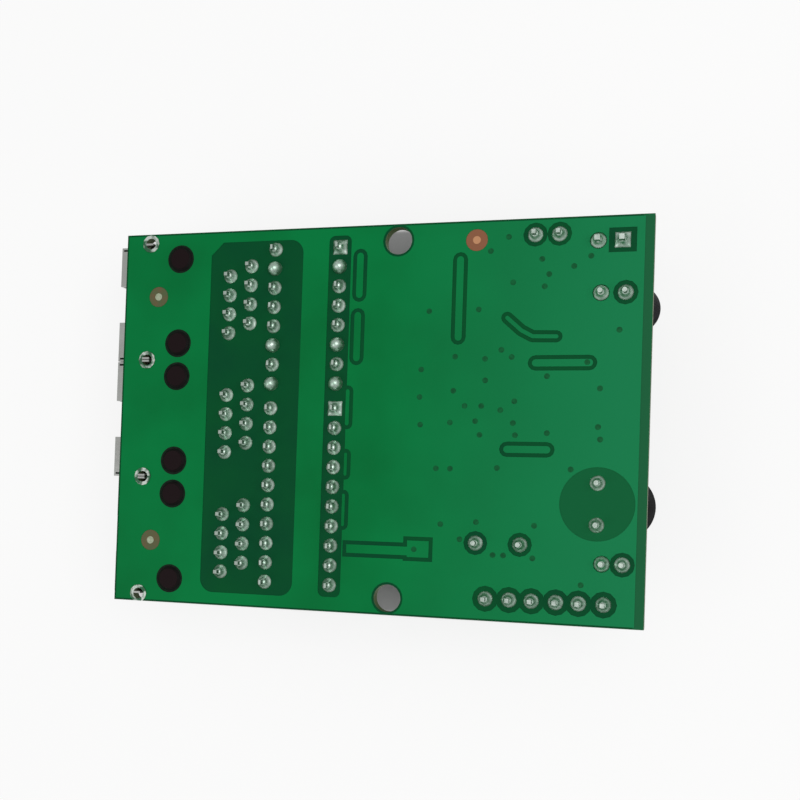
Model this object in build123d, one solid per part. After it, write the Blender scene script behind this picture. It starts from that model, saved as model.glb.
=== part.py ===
from build123d import *
import os
from math import atan2, cos, degrees, hypot, radians, sin

# A small ethernet switch board, seen from its solder side. All sizes are in millimetres.
# The board is drawn flat: x runs right from its left edge, y runs down from its top edge,
# and z runs away from the eye, from 0 at the component face.
# At the end the whole board is turned over, so that the solder side looks up.

# Board
board_length = 70.0
board_width = 50.0
board_thick = 1.6
fixing_hole = 3.5
fixing_share = 0.5486
fixing_edge = 2.15
lead_hole = 0.95
lead_hole_sides = 6
inlet_hole = 1.2
small_sides = 12
round_sides = 20
tab_hole = 1.5
tab_ring = 0.45
tab_ring_thick = 0.15

# Copper on the solder side, drawn with its coat of solder mask
copper_thick = 0.05
copper_pull_back = 0.25
copper_pull_back_right = 1.1
fiducial_size = 2.8

# Jacks
jack_count = 3
jack_margin = 1.15
jack_gap = 0.1
jack_shift = 0.15
jack_height = 13.4
jack_depth = 21.3
jack_overhang = 1.6
sheet = 0.25
fit_gap = 0.03
peg_set_back = 9.7
peg_spacing = 11.43
peg_size = 3.2
peg_hole = 3.35
peg_length = 2.0
row_set_back = 7.35
row_gap = 2.95
contact_count = 8
pin_pitch = 1.27
contact_pitch = 1.016
contact_wire = 0.46
pin_reach = 1.9
plug_width = 11.9
plug_height = 6.9
plug_floor = 4.2
plug_depth = 12.6
latch_width = 6.2
latch_neck = 3.8
latch_step = 1.55
tab_set_back = 5.2
tab_width = 1.0
tab_reach = 0.6
lip_inner = 2.5
lip_outer = 7.4
lip_end = 0.4
lip_jacks = 2
cut_back = 1.5
window_length = 2.2
window_height = 1.4
comb_wall = 0.36
comb_start = 2.4
comb_length = 3.2
spring_room_start = 7.0
spring_room_drop = 4.5
slot_rise = 1.15
spring_start = 2.0
spring_length = 6.0
spring_width = 1.5
spring_slit = 0.4
spring_place = 4.2

# Line transformers
transformer_from_jacks = 6.5
transformer_row_gap = 8.89
transformer_width = 7.3
transformer_height = 6.1
transformer_lift = 0.6
transformer_end = 1.15
transformer_one_pins = 8
transformer_one_start = 2.7
transformer_two_pins = 10
transformer_between = 3.22
transformer_two_end = 3.44
short_pins = (1, 5, 7)
short_reach = 1.1
lead_thick = 0.3
lead_wide = 0.6
lead_level = 2.6

# Solder joints
joint_size = 1.9
joint_height = 0.8
joint_taper = 40.0
joint_sides = 8

# Switch chip
chip_share_x = 0.6943
chip_share_y = 0.48
chip_size = 7.0
chip_thick = 1.4
chip_lift = 0.1
chip_side_leads = 12
chip_lead_pitch = 0.5
chip_lead_wide = 0.22
chip_lead_thick = 0.13
chip_span = 9.0
chip_foot = 0.6

# Crystal
crystal_share_x = 0.7464
crystal_share_y = 0.808
crystal_length = 11.05
crystal_width = 4.65
crystal_height = 3.5
crystal_flange = 0.45
crystal_rim = 0.5
crystal_pitch = 5.5
crystal_bevel = 0.4
round_lead = 0.6

# Choke
choke_from_right = 5.85
choke_from_capacitor = 7.2
choke_size = 8.6
choke_pitch = 5.08
choke_wall = 0.37
choke_post = 4.2
choke_flange = 1.5
choke_sleeve = 0.3
choke_shoulder = 0.35
choke_length = 12.0
choke_lean = 10.0
choke_clearing = 9.0

# Electrolytic capacitors
big_cap_from_right = 4.65
big_cap_y = 9.45
big_cap_size = 6.3
big_cap_length = 11.0
big_cap_pitch = 2.9
big_cap_lean = 10.0
small_cap_from_right = 3.9
small_cap_from_lamps = 4.9
small_cap_size = 5.0
small_cap_length = 7.0
small_cap_pitch = 2.4
can_wall = 0.3
cap_sleeve = 0.12
bung_thick = 1.4
capacitor_lift = 0.3

# Lamps
lamp_size = 3.0
lamp_flange = 3.8
lamp_flange_thick = 1.0
lamp_height = 5.3
lamp_lift = 0.6
dome_steps = 4
lamp_pitch = 2.95
lamp_lead = 0.5
lamp_step_share = 0.0811
lamp_first_share = 0.7486
lamp_edge = 2.75
lamp_count = 3
power_lamp_share = 0.8179
power_lamp_edge = 2.05

# Power inlet
inlet_from_right = 5.15
inlet_edge = 3.05
inlet_length = 7.4
inlet_width = 5.75
inlet_height = 7.0
inlet_wall = 0.7
inlet_floor = 1.8
inlet_pitch = 2.9
inlet_pin = 0.64
inlet_pin_height = 5.6

# Regulator and diode
regulator_share_x = 0.7986
regulator_share_y = 0.68
regulator_length = 4.9
regulator_width = 3.9
regulator_thick = 1.45
regulator_span = 6.0
regulator_side_leads = 4
regulator_pitch = 1.27
regulator_lead_wide = 0.42
regulator_lead_thick = 0.2
diode_share_x = 0.8857
diode_from_choke = 8.65
diode_length = 4.3
diode_width = 2.6
diode_height = 2.2
diode_foot = 1.1
diode_lead_wide = 1.45

# Chip resistors and chip capacitors
chip_part_length = 1.6
chip_part_width = 0.8
chip_end = 0.3
resistor_height = 0.45
capacitor_height = 0.8
resistor_share_x = 0.5071
resistor_group_one = (0.12, 0.044, 5)
resistor_group_two = (0.52, 0.052, 7)
lamp_resistor_rise = 3.1
capacitor_ring = 6.3
ring_offsets = (-4.0, 0.0, 4.0)
supply_capacitors = ((0.8486, 0.3), (0.8486, 0.364), (0.7229, 0.672), (0.6857, 0.732))


# Places worked out from the sizes above
jack_pitch = (board_width - 2 * jack_margin) / jack_count
jack_width = jack_pitch - jack_gap
jack_front = -jack_overhang
peg_x = jack_front + peg_set_back
first_row = peg_x + row_set_back
second_row = first_row + row_gap
tab_x = jack_front + tab_set_back
jack_middles = [
    board_width / 2 + jack_shift + jack_pitch * (k - (jack_count - 1) / 2) for k in range(jack_count)
]
row_reach = pin_pitch * (contact_count - 1) / 2
tab_places = [jack_middles[0] - jack_pitch / 2]
tab_places += [middle + jack_pitch / 2 for middle in jack_middles]
solder_face = -board_thick
transformer_mid = jack_front + jack_depth + transformer_from_jacks
transformer_steps = transformer_one_pins + transformer_two_pins - 2
transformer_room = board_width - transformer_one_start - transformer_between - transformer_two_end
transformer_pitch = transformer_room / transformer_steps
transformer_one_end = transformer_one_start + transformer_pitch * (transformer_one_pins - 1)
transformer_two_start = transformer_one_end + transformer_between
fixing_x = board_length * fixing_share
chip_x = board_length * chip_share_x
chip_y = board_width * chip_share_y
crystal_x = board_length * crystal_share_x
crystal_y = board_width * crystal_share_y
lamp_y = board_width - lamp_edge
lamp_places = [board_length * (lamp_first_share + lamp_step_share * k) for k in range(lamp_count)]
power_lamp_x = board_length * power_lamp_share
small_cap_x = board_length - small_cap_from_right
small_cap_y = lamp_y - small_cap_from_lamps
choke_x = board_length - choke_from_right
choke_y = small_cap_y - choke_from_capacitor
choke_core = choke_size - 2 * choke_wall - 2 * fit_gap
big_cap_x = board_length - big_cap_from_right
inlet_x = board_length - inlet_from_right
regulator_x = board_length * regulator_share_x
regulator_y = board_width * regulator_share_y
diode_x = board_length * diode_share_x
diode_y = choke_y - diode_from_choke


def block(length, width, height, x, y, z):
    """A box centred on x and y that stands up from z."""
    return Pos(x, y, z) * Box(length, width, height, align=(Align.CENTER, Align.CENTER, Align.MIN))


def rod(size, length, x, y, z):
    """A round bar that stands up from z."""
    return Pos(x, y, z) * Cylinder(size / 2, length, align=(Align.CENTER, Align.CENTER, Align.MIN))


def span_box(x0, x1, y0, y1, z0, z1):
    """A box given by its sides."""
    return block(x1 - x0, y1 - y0, z1 - z0, (x0 + x1) / 2, (y0 + y1) / 2, z0)


def pin_rows(centre, row_gap_size, pitch, count, start):
    """Lead places of a part with two straight rows along y."""
    sides = (centre - row_gap_size / 2, centre + row_gap_size / 2)
    return [(x, start + pitch * k) for x in sides for k in range(count)]


def pair_across(x, y, pitch):
    return [(x - pitch / 2, y), (x + pitch / 2, y)]


def pair_down(x, y, pitch):
    return [(x, y - pitch / 2), (x, y + pitch / 2)]


def contact_places(middle):
    """The eight pins of one jack, in two rows half a pitch apart."""
    places = []
    for k in range(contact_count):
        row = second_row if k % 2 == 0 else first_row
        places.append((row, middle - row_reach + pin_pitch * k))
    return places


jack_pins = [place for middle in jack_middles for place in contact_places(middle)]
transformer_one_places = pin_rows(
    transformer_mid, transformer_row_gap, transformer_pitch, transformer_one_pins, transformer_one_start
)
transformer_two_places = pin_rows(
    transformer_mid, transformer_row_gap, transformer_pitch, transformer_two_pins, transformer_two_start
)
crystal_pins = pair_across(crystal_x, crystal_y, crystal_pitch)
choke_pins = pair_down(choke_x, choke_y, choke_pitch)
big_cap_pins = pair_across(big_cap_x, big_cap_y, big_cap_pitch)
small_cap_pins = pair_across(small_cap_x, small_cap_y, small_cap_pitch)
lamp_pins = [pin for x in lamp_places for pin in pair_across(x, lamp_y, lamp_pitch)]
power_lamp_pins = pair_across(power_lamp_x, power_lamp_edge, lamp_pitch)
inlet_pins = pair_across(inlet_x, inlet_edge, inlet_pitch)
round_pins = crystal_pins + choke_pins + big_cap_pins + small_cap_pins
square_pins = lamp_pins + power_lamp_pins
fixing_places = [(fixing_x, fixing_edge), (fixing_x, board_width - fixing_edge)]
peg_places = [pin for middle in jack_middles for pin in pair_down(peg_x, middle, peg_spacing)]
lead_places = jack_pins + transformer_one_places + transformer_two_places
lead_places += round_pins + square_pins
fiducial_shares = ((0.0714, 0.172), (0.0729, 0.834), (0.6929, 0.049))
fiducial_places = [(board_length * x, board_width * y) for x, y in fiducial_shares]


def circuit_board():
    """The glass-fibre laminate, drilled for every peg, tab, lead and fixing screw."""
    outline = Pos(board_length / 2, board_width / 2) * Rectangle(board_length, board_width)
    holes = [Pos(x, y) * Circle(fixing_hole / 2) for x, y in fixing_places]
    holes += [Pos(x, y) * Circle(peg_hole / 2) for x, y in peg_places]
    holes += [Pos(tab_x, y) * RegularPolygon(tab_hole / 2, small_sides) for y in tab_places]
    holes += [Pos(x, y) * RegularPolygon(lead_hole / 2, lead_hole_sides) for x, y in lead_places]
    holes += [Pos(x, y) * RegularPolygon(inlet_hole / 2, small_sides) for x, y in inlet_pins]
    return Pos(0, 0, solder_face) * extrude(outline - holes, amount=board_thick)


# Copper picture of the solder side. Places are shares of the board's length and width.
zone_before_row = 2.85
zone_past_mid = 0.6
zone_top = 1.5
zone_bottom = 1.7
zone_corner = 1.8
zone_chamfer = 2.4
band_mid = transformer_mid + transformer_row_gap / 2
band_width = 3.0
band_top = 1.2
band_bottom = 1.9
ring_gap = 1.5
ground_gap = 1.05
lamp_gap = 1.62
channel = 0.5
upright_islands = ((0.6643, 0.078, 0.312, 1.9), (0.4771, 0.06, 0.198, 1.9), (0.4757, 0.214, 0.362, 1.9))
upright_islands += ((0.4614, 0.414, 0.528, 1.5), (0.4614, 0.578, 0.658, 1.4), (0.46, 0.684, 0.788, 1.4))
level_islands = ((0.359, 0.79, 0.91, 1.9), (0.573, 0.7443, 0.8414, 1.9))
bar_share_y = 0.835
bar_start_share = 0.4614
bar_neck_share = 0.58
bar_end_share = 0.6257
bar_width = 2.1
bar_pad = 3.1
bent_track = ((0.7514, 0.246), (0.7771, 0.278), (0.7971, 0.293), (0.8386, 0.294))
bent_width = 1.5


def strip(x0, y0, x1, y1, width):
    """A straight strip with round ends, drawn with few sides."""
    ends = [Pos(x, y) * RegularPolygon(width / 2, small_sides) for x, y in ((x0, y0), (x1, y1))]
    turn = degrees(atan2(y1 - y0, x1 - x0))
    middle = Pos((x0 + x1) / 2, (y0 + y1) / 2) * Rot(0, 0, turn)
    return Sketch() + ends + middle * Rectangle(hypot(x1 - x0, y1 - y0), width)


def bent_strip(width):
    """The round-ended strip that follows the bent track."""
    points = [(board_length * x, board_width * y) for x, y in bent_track]
    shape = Sketch()
    for (x0, y0), (x1, y1) in zip(points, points[1:]):
        shape += strip(x0, y0, x1, y1, width)
    return shape


def bar_strip(inset):
    """The long bar with its pad, from the transformer pin to the pad's via."""
    start = board_length * bar_start_share
    neck = board_length * bar_neck_share
    end = board_length * bar_end_share
    y = board_width * bar_share_y
    bar = Pos((start + end) / 2, y) * Rectangle(end - start - 2 * inset, bar_width - 2 * inset)
    pad_length = end - neck + 0.6 - 2 * inset
    return bar + Pos((neck + end) / 2, y - 0.3) * Rectangle(pad_length, bar_pad - 2 * inset)


def island_outlines(inset):
    """The outlines of the copper islands, each drawn smaller by the inset."""
    shapes = [bent_strip(bent_width - 2 * inset), bar_strip(inset)]
    for share, start, end, width in upright_islands:
        x = board_length * share
        radius = width / 2
        top = board_width * start + radius
        bottom = board_width * end - radius
        shapes.append(strip(x, top, x, bottom, width - 2 * inset))
    for share, start, end, width in level_islands:
        y = board_width * share
        radius = width / 2
        left = board_length * start + radius
        right = board_length * end - radius
        shapes.append(strip(left, y, right, y, width - 2 * inset))
    return shapes


def jack_zone():
    """The field without copper below the jack pins and the near transformer row."""
    left = first_row - zone_before_row
    right = transformer_mid - zone_past_mid
    bottom = board_width - zone_bottom
    zone = Pos((left + right) / 2, (zone_top + bottom) / 2)
    zone = zone * RectangleRounded(right - left, bottom - zone_top, zone_corner)
    corner = Pos(left, zone_top) * Rot(0, 0, 45) * Rectangle(zone_chamfer, zone_chamfer * 2)
    return zone - corner


def clearings(places, radius, sides):
    """Round openings in the copper, drawn with few sides."""
    return [Pos(x, y) * RegularPolygon(radius, sides) for x, y in places]


def solder_side_copper():
    """The ground copper with its clearings, and the islands that stand in them."""
    length = board_length - copper_pull_back - copper_pull_back_right
    width = board_width - 2 * copper_pull_back
    pour = Pos(copper_pull_back + length / 2, board_width / 2) * Rectangle(length, width)
    band_length = board_width - band_top - band_bottom
    band_middle = Pos(band_mid, band_top + band_length / 2)
    clear = [jack_zone(), band_middle * RectangleRounded(band_width, band_length, 0.8)]
    clear.append(Pos(choke_x, choke_y) * Circle(choke_clearing / 2))
    clear.append(Pos(*inlet_pins[1]) * Rectangle(2 * ring_gap + 0.3, 2 * ring_gap))
    clear += clearings(lamp_pins, lamp_gap, small_sides)
    clear += clearings(power_lamp_pins + crystal_pins, ring_gap, small_sides)
    clear += clearings((big_cap_pins[1], small_cap_pins[1]), ring_gap, small_sides)
    clear += clearings((big_cap_pins[0], small_cap_pins[0], inlet_pins[0]), ground_gap, small_sides)
    clear += clearings(fixing_places, fixing_hole / 2 + 0.3, round_sides)
    clear += clearings(peg_places, peg_hole / 2 + 0.2, round_sides)
    clear += clearings([(tab_x, y) for y in tab_places], tab_hole / 2 + tab_ring, small_sides)
    clear += clearings(fiducial_places, fiducial_size / 2, round_sides)
    clear += island_outlines(0)
    picture = pour - clear
    for island in island_outlines(channel):
        picture += island
    return Pos(0, 0, solder_face - copper_thick) * extrude(picture, amount=copper_thick)


def fiducial_marks():
    """Three round alignment marks on bare laminate."""
    outlines = Sketch() + clearings(fiducial_places, fiducial_size / 2 - fit_gap, round_sides)
    return Pos(0, 0, solder_face - copper_thick) * extrude(outlines, amount=copper_thick)


def plug_opening(margin):
    """The stepped outline of the plug and its latch, in the plane across the jack."""
    steps = (
        (plug_width, plug_height, plug_floor + plug_height / 2),
        (latch_width, latch_step, plug_floor - latch_step / 2),
        (latch_neck, latch_step, plug_floor - 1.5 * latch_step),
    )
    outline = Sketch()
    for width, height, level in steps:
        outline += Pos(0, level) * Rectangle(width + 2 * margin, height + 2 * margin)
    return outline


def across(sketch, x, length):
    """Turns an outline drawn in y and z into a solid that runs along x."""
    return Pos(x, 0, 0) * extrude(Plane.YZ * sketch, amount=length)


def edge_cut(half):
    """The room that keeps a jack without lips inside the board's edge."""
    return span_box(jack_front - 1, 0, -half - 1, half + 1, -1, cut_back)


def jack_housing(middle, has_lips):
    """The moulded insulator: stepped plug cavity, contact comb, pin well and two pegs."""
    wall = sheet + fit_gap
    front = jack_front + wall
    back = jack_front + jack_depth - wall
    half = jack_width / 2 - wall
    top = jack_height - wall
    body = span_box(front, back, -half, half, 0, top)
    body -= span_box(front - 1, lip_end + fit_gap, -half, half, -1, wall)
    body -= span_box(front - 1, 0, -lip_inner, lip_inner, -1, plug_floor)
    if not has_lips:
        body -= edge_cut(half)
    well_front = first_row - 2.8
    well_half = row_reach + 0.65
    contact_half = contact_pitch * (contact_count - 1) / 2 + contact_pitch / 2
    roof = plug_floor + plug_height
    slot_top = roof + slot_rise
    comb = front + comb_start
    room = front + spring_room_start
    body -= across(plug_opening(0), front - 1, plug_depth + 1)
    body -= span_box(well_front, back + 1, -well_half, well_half, -1, slot_top)
    body -= span_box(comb, well_front + 1, -contact_half, contact_half, roof - 0.1, slot_top)
    body -= span_box(room, front + plug_depth, -contact_half, contact_half, roof - spring_room_drop, slot_top)
    for side in (-1, 1):
        recess = span_box(front - 1, front + 5.2, -0.75, 0.75, plug_floor + 1.6, plug_floor + 5.4)
        body -= Pos(0, side * (plug_width / 2), 0) * recess
        body += window_bump(side * half, side)
    for k in range(contact_count - 1):
        rib_y = contact_pitch * (k - (contact_count - 2) / 2)
        rib = span_box(comb, comb + comb_length, -comb_wall / 2, comb_wall / 2, roof, slot_top)
        body += Pos(0, rib_y, 0) * rib
    for side in (-1, 1):
        body += peg(side * peg_spacing / 2)
    return Pos(0, middle, 0) * body


def window_bump(y, side):
    """The small wedge that locks the shield's window."""
    length = window_length - 0.3
    outline = Polyline((0, 0), (length, 0), (length, side * sheet), close=True)
    wedge = extrude(make_face(outline), amount=window_height - 0.3)
    return Pos(window_x() + 0.15, y, window_z() + 0.15) * wedge


def window_x():
    return jack_front + jack_depth * 0.52


def window_z():
    return jack_height * 0.32


def peg(y):
    """A locating peg with a bevelled end."""
    post = rod(peg_size, peg_length, peg_x, y, -peg_length)
    return chamfer(post.faces().sort_by(Axis.Z)[0].edges(), 0.3)


def jack_shield(middle, has_lips):
    """The folded tinned sheet round the jack, with its opening, springs, windows and ground tabs."""
    half = jack_width / 2
    back = jack_front + jack_depth
    inner = half - sheet
    shell = span_box(jack_front, back, -half, half, 0, jack_height)
    shell -= span_box(jack_front + sheet, back - sheet, -inner, inner, -1, jack_height - sheet)
    shell -= across(plug_opening(0.35), jack_front - 1, 1 + sheet * 2)
    shell -= span_box(jack_front - 1, jack_front + sheet * 2, -lip_inner, lip_inner, -1, plug_floor)
    for side in (-1, 1):
        window_mid = window_x() + window_length / 2
        shell -= block(window_length, 2, window_height, window_mid, side * half, window_z())
        shell -= spring_slot(side * spring_place)
        if has_lips:
            lip = block(lip_end - jack_front, lip_outer - lip_inner, sheet, 0, 0, 0)
            shell += Pos((jack_front + lip_end) / 2, side * (lip_inner + lip_outer) / 2, 0) * lip
        shell += plug_spring(side)
        shell += ground_tab(side)
    if not has_lips:
        shell -= edge_cut(half)
    return Pos(0, middle, 0) * shell


def spring_slot(y):
    """The three-sided cut that frees a spring finger in the shield's roof."""
    start = jack_front + spring_start
    end = start + spring_length
    outer = spring_width / 2 + spring_slit
    inner = spring_width / 2
    cut = span_box(start, end, -outer, outer, jack_height - sheet * 2, jack_height + 1)
    cut -= span_box(start - 1, end - spring_slit, -inner, inner, 0, jack_height + 2)
    return Pos(0, y, 0) * cut


def plug_spring(side):
    """A leaf turned in from the opening's edge, which presses on the plug's shield."""
    x0 = jack_front
    y0 = plug_width / 2 + 0.35
    y1 = plug_width / 2 + 0.1
    leaf = Polyline(
        (x0, side * y0),
        (x0, side * (y0 + sheet)),
        (x0 + 2.4, side * (y1 + sheet)),
        (x0 + 4.8, side * (y0 + sheet)),
        (x0 + 4.8, side * y0),
        (x0 + 2.4, side * y1),
        close=True,
    )
    return Pos(0, 0, plug_floor + 2.1) * extrude(make_face(leaf), amount=2.8)


def ground_tab(side):
    """The solder tab that runs down from the side wall through the board."""
    y = side * (jack_width / 2 - sheet / 2)
    reach = board_thick + tab_reach
    return block(tab_width, sheet, reach + 1, tab_x, y, -reach)


def jack_contacts(middle):
    """Eight sprung wires: board pin, turned forward over the cavity, then sloped back into it."""
    level = plug_floor + plug_height + 0.45
    turn = first_row - 2.6
    nose = jack_front + 4.2
    return [contact(k, level, turn, nose, middle) for k in range(contact_count)]


def contact(k, level, turn, nose, middle):
    x, y = contact_places(0)[k]
    y_end = contact_pitch * (k - (contact_count - 1) / 2)
    half = contact_wire / 2
    pin_length = board_thick + pin_reach + level + contact_wire
    pin = block(contact_wire, contact_wire, pin_length, x, y, solder_face - pin_reach)
    start = x + half
    corners = ((start, y - half), (start, y + half), (turn, y_end + half), (turn, y_end - half))
    run = Polyline(*corners, close=True)
    bar = Pos(0, 0, level) * extrude(make_face(run), amount=contact_wire)
    drop = 4.1
    reach = 5.6
    slope = Polyline(
        (turn + 0.01, level),
        (turn + 0.01, level + contact_wire),
        (nose, level + contact_wire),
        (nose - 0.4, level + 0.1),
        (nose + reach, level - drop),
        (nose + reach + 0.3, level - drop + 0.4),
        (nose + 0.55, level),
        close=True,
    )
    spring = extrude(Plane.XZ * make_face(slope), amount=contact_wire / 2, both=True)
    return Pos(0, middle, 0) * (pin + bar + Pos(0, y_end, 0) * spring)


def transformer_body(pins, start):
    """The moulded block, with a notch at its first pin."""
    length = transformer_pitch * (pins - 1) + 2 * transformer_end
    middle = start + transformer_pitch * (pins - 1) / 2
    body = block(transformer_width, length, transformer_height, 0, 0, transformer_lift)
    body = Pos(transformer_mid, middle, 0) * body
    top = body.faces().sort_by(Axis.Z)[-1]
    body = chamfer(top.edges(), 0.35)
    notch_y = start - transformer_end
    body -= rod(2.0, 1, transformer_mid, notch_y, transformer_lift + transformer_height - 0.4)
    for x in (-1, 1):
        for y in (-1, 1):
            foot_x = transformer_mid + x * (transformer_width / 2 - 0.8)
            body += block(0.9, 0.9, transformer_lift, foot_x, middle + y * (length / 2 - 0.8), 0)
    return body


def transformer_leads(places, short=()):
    """Flat leads that leave the sides of the block and turn down through the board."""
    leads = []
    for k, (x, y) in enumerate(places):
        side = 1 if x > transformer_mid else -1
        inner = transformer_mid + side * transformer_width / 2
        outer = x + side * lead_thick / 2
        level = transformer_lift + lead_level
        reach = short_reach if k % (len(places) // 2) in short else pin_reach
        tip = solder_face - reach
        outline = Polyline(
            (inner, level),
            (outer - side * lead_thick, level),
            (outer - side * lead_thick, tip),
            (outer, tip),
            (outer, level + lead_thick),
            (inner, level + lead_thick),
            close=True,
        )
        lead = extrude(Plane.XZ * make_face(outline), amount=lead_wide / 2, both=True)
        leads.append(Pos(0, y, 0) * lead)
    return leads


def joint(x, y, hole, square=False):
    """A cone of solder on its pad, pierced by the lead."""
    pad = Rectangle(joint_size, joint_size) if square else RegularPolygon(joint_size / 2, joint_sides)
    cone = extrude(pad, amount=joint_height, taper=joint_taper)
    cone -= extrude(hole, amount=3, both=True)
    return Pos(x, y, solder_face) * Rot(180, 0, 0) * cone


def jack_solder():
    hole = Rectangle(contact_wire, contact_wire)
    return [joint(x, y, hole) for x, y in jack_pins]


def transformer_solder():
    hole = Rectangle(lead_thick, lead_wide)
    first = (len(transformer_one_places) // 2, len(transformer_two_places) // 2)
    joints = [joint(x, y, hole, k == first[0]) for k, (x, y) in enumerate(transformer_one_places)]
    joints += [joint(x, y, hole, k == first[1]) for k, (x, y) in enumerate(transformer_two_places)]
    return joints


def small_part_solder():
    """The joints of the crystal, choke, capacitors, lamps and power inlet."""
    wire = RegularPolygon(round_lead / 2, small_sides)
    joints = [joint(x, y, wire) for x, y in round_pins]
    joints += [joint(x, y, Rectangle(lamp_lead, lamp_lead)) for x, y in square_pins]
    pin = Rectangle(inlet_pin, inlet_pin)
    joints += [joint(x, y, pin, k == 1) for k, (x, y) in enumerate(inlet_pins)]
    return joints


def tab_rings():
    """The tinned rings round the holes of the shield tabs, cut where they meet the board's edge."""
    places = [(tab_x, y) for y in tab_places]
    rings = Sketch() + clearings(places, tab_hole / 2 + tab_ring, small_sides)
    rings -= clearings(places, tab_hole / 2, small_sides)
    rings &= Pos(board_length / 2, board_width / 2) * Rectangle(board_length, board_width)
    return Pos(0, 0, solder_face - tab_ring_thick) * extrude(rings, amount=tab_ring_thick)


def chip_body():
    """The moulded switch chip, with bevelled sides and a first-pin dimple."""
    lower = Rectangle(chip_size, chip_size)
    half = chip_thick / 2
    body = extrude(lower, amount=half, taper=6)
    body += Rot(180, 0, 0) * extrude(lower, amount=half, taper=6)
    body -= rod(0.8, 1, 1 - chip_size / 2, 1 - chip_size / 2, half - 0.12)
    return Pos(chip_x, chip_y, chip_lift + half) * body


def gull_lead(inner, outer, level, thick, wide, foot):
    """A lead that leaves a body at the given level and steps down to the board."""
    outline = Polyline(
        (inner, level),
        (inner + 0.35, level),
        (outer - foot - 0.1, 0),
        (outer, 0),
        (outer, thick),
        (outer - foot, thick),
        (inner + 0.45, level + thick),
        (inner, level + thick),
        close=True,
    )
    return extrude(Plane.XZ * make_face(outline), amount=wide / 2, both=True)


def chip_leads():
    level = chip_lift + chip_thick / 2 - chip_lead_thick / 2
    lead = gull_lead(chip_size / 2, chip_span / 2, level, chip_lead_thick, chip_lead_wide, chip_foot)
    leads = []
    for side in range(4):
        for k in range(chip_side_leads):
            offset = chip_lead_pitch * (k - (chip_side_leads - 1) / 2)
            leads.append(Pos(chip_x, chip_y, 0) * Rot(0, 0, 90 * side) * Pos(0, offset, 0) * lead)
    return leads


def crystal_base():
    base = extrude(SlotOverall(crystal_length, crystal_width), amount=crystal_flange)
    return Pos(crystal_x, crystal_y, 0) * base


def crystal_can():
    length = crystal_length - 2 * crystal_rim
    width = crystal_width - 2 * crystal_rim
    can = extrude(SlotOverall(length, width), amount=crystal_height - crystal_flange)
    can = chamfer(can.faces().sort_by(Axis.Z)[-1].edges(), crystal_bevel)
    return Pos(crystal_x, crystal_y, crystal_flange) * can


def round_leads(places, body, reach):
    """Straight wires from below the solder side up to the underside of a body."""
    wires = []
    for x, y in places:
        outline = RegularPolygon(round_lead / 2, small_sides)
        wire = extrude(outline, amount=board_thick + pin_reach + reach)
        wire = Pos(x, y, solder_face - pin_reach) * wire - body
        wires.append(wire.solids().sort_by(Axis.Z)[0])
    return wires


def leaned(part, x, y, size, lean):
    """Stands a round part on the board, leaning to the right on the rim of its base."""
    lift = size / 2 * sin(radians(lean)) + 0.02
    return Pos(x, y, lift) * Rot(0, lean, 0) * part


def choke_place(part):
    return leaned(part, choke_x, choke_y, choke_size, choke_lean)


def choke_core_form():
    """The ferrite drum: a post between two flanges."""
    outer = choke_core / 2
    post = choke_post / 2
    top = choke_length - choke_sleeve
    outline = Polyline(
        (0, choke_sleeve),
        (outer, choke_sleeve),
        (outer, choke_sleeve + choke_flange),
        (post, choke_sleeve + choke_flange),
        (post, top - choke_flange),
        (outer, top - choke_flange),
        (outer, top),
        (0, top),
        close=True,
    )
    return revolve(Plane.XZ * make_face(outline), Axis.Z)


def choke_winding_form():
    """The coil of copper wire between the flanges."""
    inner = choke_post / 2 + fit_gap
    outer = choke_core / 2 - 0.25
    low = choke_sleeve + choke_flange + fit_gap
    high = choke_length - choke_sleeve - choke_flange - fit_gap
    outline = Polyline((inner, low), (outer, low), (outer, high), (inner, high), close=True)
    return revolve(Plane.XZ * make_face(outline), Axis.Z)


def choke_sleeve_form():
    """The shrunk sleeve, drawn in over both ends of the drum."""
    outer = choke_size / 2
    lip = choke_core / 2 - 1.3
    shoulder = outer - choke_shoulder
    outline = Polyline(
        (0, 0),
        (shoulder, 0),
        (outer, choke_shoulder),
        (outer, choke_length - choke_shoulder),
        (shoulder, choke_length),
        (0, choke_length),
        close=True,
    )
    sleeve = revolve(Plane.XZ * make_face(outline), Axis.Z)
    room = choke_core + 2 * fit_gap
    sleeve -= rod(room, choke_length - 2 * (choke_sleeve - fit_gap), 0, 0, choke_sleeve - fit_gap)
    return sleeve - rod(2 * lip, choke_length + 2, 0, 0, -1)


def can_form(size, length):
    """The drawn aluminium can, closed below by its bung."""
    outer = size / 2 - cap_sleeve - fit_gap
    seat = bung_thick + 0.3
    outline = Polyline(
        (outer - can_wall, 0),
        (outer, 0),
        (outer, length - 0.4),
        (outer - 0.4, length),
        (0, length),
        (0, seat),
        (outer - can_wall, seat),
        close=True,
    )
    return revolve(Plane.XZ * make_face(outline), Axis.Z)


def cap_sleeve_form(size, length):
    """The thin plastic sleeve, folded over the shoulder of the can."""
    outer = size / 2
    inner = outer - cap_sleeve
    lip = outer - 1.0
    high = length + cap_sleeve + fit_gap
    outline = Polyline(
        (inner, 0.15),
        (outer, 0.15),
        (outer, high - 0.3),
        (outer - 0.3, high),
        (lip, high),
        (lip, high - cap_sleeve),
        (outer - 0.4, high - cap_sleeve),
        (inner, high - 0.45),
        close=True,
    )
    return revolve(Plane.XZ * make_face(outline), Axis.Z)


def bung_form(size):
    """The rubber disc that closes the can."""
    outer = size / 2 - cap_sleeve - 2 * fit_gap - can_wall
    return rod(2 * outer, bung_thick + 0.25, 0, 0, 0)


def big_cap_place(part):
    return leaned(part, big_cap_x, big_cap_y, big_cap_size, big_cap_lean)


def small_cap_place(part):
    return Pos(small_cap_x, small_cap_y, capacitor_lift) * part


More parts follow.
